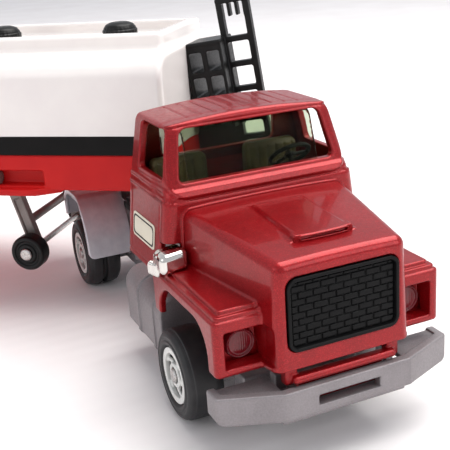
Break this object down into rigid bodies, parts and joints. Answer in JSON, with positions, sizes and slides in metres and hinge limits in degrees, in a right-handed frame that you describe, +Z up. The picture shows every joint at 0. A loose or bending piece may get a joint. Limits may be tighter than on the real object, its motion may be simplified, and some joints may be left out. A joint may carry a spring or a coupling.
{
  "type": "toy articulated tanker truck",
  "caption": "Toy articulated tanker: bonneted tractor unit with spinning wheels and a fifth wheel carrying a tank semi-trailer with folding landing wheels.",
  "frame": {"origin": "on the kingpin's axis, in the flat underside of the tractor's chassis, 7 mm above the ground", "axes": "+X to the front of the tractor, +Y to its left, +Z up; the trailer rests turned 50.5 degrees, its rear to the tractor's right"},
  "size_m": [0.2414, 0.1931, 0.0778],
  "materials": {
    "cab_red": "metallic red lacquer, gloss",
    "window_tint": "clear moulded plastic with a pale green tint",
    "seat_olive": "satin",
    "black_plastic": "satin",
    "plated": "bright vacuum plating",
    "label": "printed adhesive label",
    "cast_grey": "silver-grey paint over casting, satin",
    "steel": "bright wire",
    "guard_grey": "silver-grey paint, semi-gloss",
    "tyre_black": "smooth black vinyl",
    "wheel_disc": "white and silver with black recess",
    "tank_white": "gloss white",
    "tank_red": "gloss red",
    "band_black": "printed adhesive band",
    "pipe_grey": "satin"
  },
  "bodies": {
    "tractor": {"cab_body": "cab_red", "cab_glazing": "window_tint", "cab_interior": "seat_olive", "steering_wheel": "black_plastic", "grille": "black_plastic", "headlamps": "cab_red", "air_intakes": "plated", "door_labels": "label", "tractor_chassis": "cast_grey", "chassis_rivets": "steel", "rear_mudguards": "guard_grey", "fifth_wheel": "black_plastic", "front_axle": "steel", "rear_axle": "steel"},
    "trailer": {"tank_shell": "tank_white", "trailer_base": "tank_red", "side_bands": "band_black", "filler_caps": "black_plastic", "front_ladder": "black_plastic", "kingpin": "steel", "delivery_pipes": "pipe_grey", "bogie_frame": "cast_grey", "base_rivets": "steel", "trailer_front_axle": "steel", "trailer_rear_axle": "steel", "landing_pivot_pin": "steel"},
    "landing_gear": {"landing_legs": "pipe_grey", "landing_axle": "steel"},
    "front_right_wheel": {"front_tyre_right": "tyre_black", "front_hub_right": "wheel_disc"},
    "front_left_wheel": {"front_tyre_left": "tyre_black", "front_hub_left": "wheel_disc"},
    "rear_right_wheel": {"rear_tyre_right": "tyre_black", "rear_hub_right": "wheel_disc"},
    "rear_left_wheel": {"rear_tyre_left": "tyre_black", "rear_hub_left": "wheel_disc"},
    "trailer_front_right_wheel": {"trailer_tyre_front_right": "tyre_black", "trailer_hub_front_right": "wheel_disc"},
    "trailer_front_left_wheel": {"trailer_tyre_front_left": "tyre_black", "trailer_hub_front_left": "wheel_disc"},
    "trailer_rear_right_wheel": {"trailer_tyre_rear_right": "tyre_black", "trailer_hub_rear_right": "wheel_disc"},
    "trailer_rear_left_wheel": {"trailer_tyre_rear_left": "tyre_black", "trailer_hub_rear_left": "wheel_disc"},
    "landing_right_wheel": {"landing_wheel_right": "black_plastic"},
    "landing_left_wheel": {"landing_wheel_left": "black_plastic"}
  },
  "joints": [
    {"name": "trailer_yaw", "type": "hinge", "parent": "tractor", "child": "trailer", "pos_m": [0, 0, 0.02], "axis": [0, 0, 1], "range_deg": [-130.5, 34.5]},
    {"name": "landing_fold", "type": "hinge", "parent": "trailer", "child": "landing_gear", "pos_m": [-0.02303, -0.02793, 0.0244], "axis": [-0.7716, 0.6361, 0], "range_deg": [0, 70]},
    {"name": "front_right_wheel_spin", "type": "hinge", "parent": "tractor", "child": "front_right_wheel", "pos_m": [0.06915, -0.0202, 0.0025], "axis": [0, 1, 0], "continuous": true},
    {"name": "front_left_wheel_spin", "type": "hinge", "parent": "tractor", "child": "front_left_wheel", "pos_m": [0.06915, 0.0202, 0.0025], "axis": [0, 1, 0], "continuous": true},
    {"name": "rear_right_wheel_spin", "type": "hinge", "parent": "tractor", "child": "rear_right_wheel", "pos_m": [-0.01085, -0.01675, 0.0025], "axis": [0, 1, 0], "continuous": true},
    {"name": "rear_left_wheel_spin", "type": "hinge", "parent": "tractor", "child": "rear_left_wheel", "pos_m": [-0.01085, 0.01675, 0.0025], "axis": [0, 1, 0], "continuous": true},
    {"name": "trailer_front_right_wheel_spin", "type": "hinge", "parent": "trailer", "child": "trailer_front_right_wheel", "pos_m": [-0.08006, -0.12581, 0.0025], "axis": [-0.7716, 0.6361, 0], "continuous": true},
    {"name": "trailer_front_left_wheel_spin", "type": "hinge", "parent": "trailer", "child": "trailer_front_left_wheel", "pos_m": [-0.10822, -0.10259, 0.0025], "axis": [-0.7716, 0.6361, 0], "continuous": true},
    {"name": "trailer_rear_right_wheel_spin", "type": "hinge", "parent": "trailer", "child": "trailer_rear_right_wheel", "pos_m": [-0.09405, -0.14278, 0.0025], "axis": [-0.7716, 0.6361, 0], "continuous": true},
    {"name": "trailer_rear_left_wheel_spin", "type": "hinge", "parent": "trailer", "child": "trailer_rear_left_wheel", "pos_m": [-0.12222, -0.11957, 0.0025], "axis": [-0.7716, 0.6361, 0], "continuous": true},
    {"name": "landing_right_wheel_spin", "type": "hinge", "parent": "landing_gear", "child": "landing_right_wheel", "pos_m": [-0.00662, -0.03562, 0.0075], "axis": [-0.7716, 0.6361, 0], "continuous": true},
    {"name": "landing_left_wheel_spin", "type": "hinge", "parent": "landing_gear", "child": "landing_left_wheel", "pos_m": [-0.03371, -0.0133, 0.0075], "axis": [-0.7716, 0.6361, 0], "continuous": true}
  ]
}
